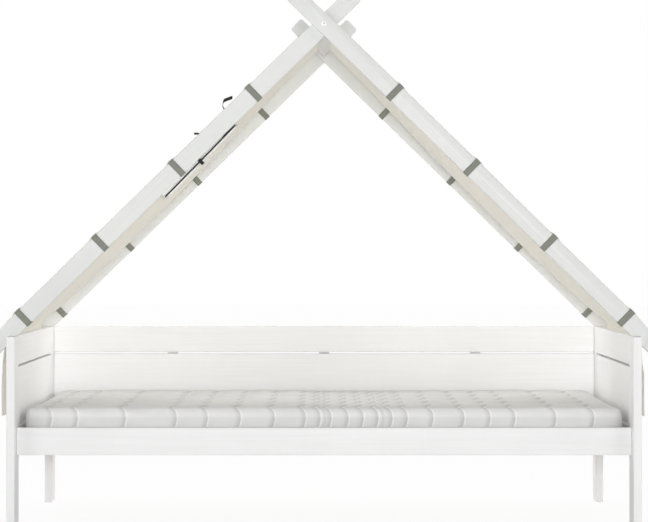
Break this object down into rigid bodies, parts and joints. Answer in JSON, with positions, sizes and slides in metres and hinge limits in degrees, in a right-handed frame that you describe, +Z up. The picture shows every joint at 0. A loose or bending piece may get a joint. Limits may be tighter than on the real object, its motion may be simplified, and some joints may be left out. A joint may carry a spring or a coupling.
{
  "type": "teepee bed",
  "caption": "Child's single bed with a low panelled back and ends, an open front, and a pole tent with a canvas cover and a rolled-up side window.",
  "frame": {"origin": "on the floor, under the middle of the object's box", "axes": "+Z up, +X along the bed's length to the right as seen from the open front, +Y from the open front to the panelled back"},
  "size_m": [2.2554, 1.02, 1.7907],
  "materials": {
    "white_lacquer": "satin white lacquer",
    "slat_wood": "raw planed pine",
    "quilted_cover": "quilted knit",
    "tent_canvas": "plain woven cotton",
    "grey_webbing": "woven tape",
    "black_webbing": "woven tape",
    "white_cap": "white bolt head"
  },
  "bodies": {
    "bed_and_tent": {"post_front_left": "white_lacquer", "post_back_left": "white_lacquer", "post_front_right": "white_lacquer", "post_back_right": "white_lacquer", "end_rail_left": "white_lacquer", "end_middle_board_left": "white_lacquer", "end_top_board_left": "white_lacquer", "end_rail_right": "white_lacquer", "end_middle_board_right": "white_lacquer", "end_top_board_right": "white_lacquer", "back_rail": "white_lacquer", "back_middle_board": "white_lacquer", "back_top_board": "white_lacquer", "front_rail": "white_lacquer", "back_batten_left": "white_lacquer", "back_batten_middle": "white_lacquer", "back_batten_right": "white_lacquer", "slat_cleat_front": "slat_wood", "slat_cleat_back": "slat_wood", "slat_1": "slat_wood", "slat_2": "slat_wood", "slat_3": "slat_wood", "slat_4": "slat_wood", "slat_5": "slat_wood", "slat_6": "slat_wood", "slat_7": "slat_wood", "slat_8": "slat_wood", "slat_9": "slat_wood", "slat_10": "slat_wood", "pole_front_left": "white_lacquer", "pole_front_right": "white_lacquer", "pole_back_left": "white_lacquer", "pole_back_right": "white_lacquer", "ridge_bar": "white_lacquer", "crossing_bolt_front": "white_cap", "crossing_bolt_back": "white_cap", "tent_cloth": "tent_canvas", "strap_front_left_1": "grey_webbing", "strap_front_left_2": "grey_webbing", "strap_front_left_3": "grey_webbing", "strap_front_left_4": "grey_webbing", "strap_front_right_1": "grey_webbing", "strap_front_right_2": "grey_webbing", "strap_front_right_3": "grey_webbing", "strap_front_right_4": "grey_webbing", "strap_back_left_1": "grey_webbing", "strap_back_left_2": "grey_webbing", "strap_back_left_3": "grey_webbing", "strap_back_left_4": "grey_webbing", "strap_back_right_1": "grey_webbing", "strap_back_right_2": "grey_webbing", "strap_back_right_3": "grey_webbing", "strap_back_right_4": "grey_webbing", "window_flap_roll": "tent_canvas", "window_binding": "black_webbing", "window_tie": "black_webbing", "window_ribbon": "black_webbing"},
    "mattress": {"mattress": "quilted_cover"}
  },
  "joints": [
    {"name": "mattress_lift", "type": "slide", "parent": "bed_and_tent", "child": "mattress", "axis": [0, 0, 1], "range_m": [0, 0.12]}
  ]
}
